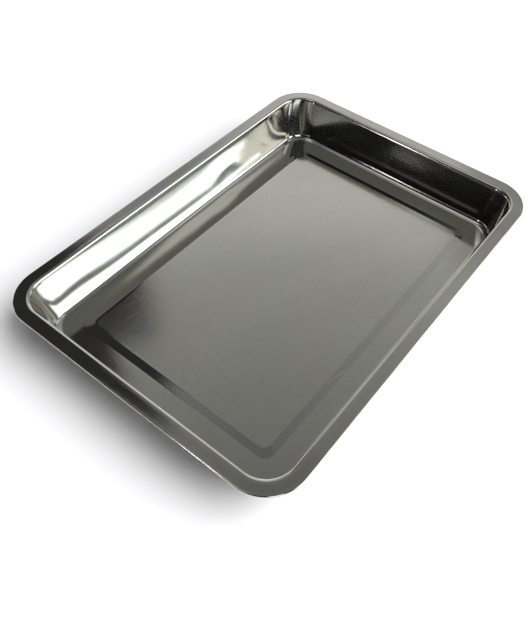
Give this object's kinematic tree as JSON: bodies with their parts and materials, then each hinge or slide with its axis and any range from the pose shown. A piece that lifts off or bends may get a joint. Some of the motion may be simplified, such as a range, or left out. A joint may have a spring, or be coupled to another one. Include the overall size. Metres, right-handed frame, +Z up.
{
  "type": "pill counting tray",
  "caption": "Shallow rectangular stainless steel tray with sloping walls, rounded corners, a flat rim with a folded hem, and a raised flat floor panel inside a narrow border.",
  "frame": {"origin": "middle of the footprint, on the plane that the underside of the floor border stands on", "axes": "+X along the tray's long side, +Y along its short side, +Z up out of the open top"},
  "size_m": [0.27, 0.198, 0.03],
  "materials": {
    "floor_satin": "satin rolled stainless steel, slightly grainy, soft reflections",
    "wall_polished": "polished stainless steel, mirror-like with faint draw marks",
    "rim_brushed": "fine brushed stainless steel along the rim, brighter on the folded edge"
  },
  "bodies": {
    "root": {"floor_panel": "floor_satin", "border_back": "floor_satin", "border_left": "floor_satin", "border_front": "floor_satin", "border_right": "floor_satin", "border_back_right_corner": "floor_satin", "border_back_left_corner": "floor_satin", "border_front_left_corner": "floor_satin", "border_front_right_corner": "floor_satin", "wall_back": "wall_polished", "wall_left": "wall_polished", "wall_front": "wall_polished", "wall_right": "wall_polished", "wall_back_right_corner": "wall_polished", "wall_back_left_corner": "wall_polished", "wall_front_left_corner": "wall_polished", "wall_front_right_corner": "wall_polished", "rim_back": "rim_brushed", "rim_left": "rim_brushed", "rim_front": "rim_brushed", "rim_right": "rim_brushed", "rim_back_right_corner": "rim_brushed", "rim_back_left_corner": "rim_brushed", "rim_front_left_corner": "rim_brushed", "rim_front_right_corner": "rim_brushed", "hem_back": "rim_brushed", "hem_left": "rim_brushed", "hem_front": "rim_brushed", "hem_right": "rim_brushed", "hem_back_right_corner": "rim_brushed", "hem_back_left_corner": "rim_brushed", "hem_front_left_corner": "rim_brushed", "hem_front_right_corner": "rim_brushed"}
  },
  "joints": []
}
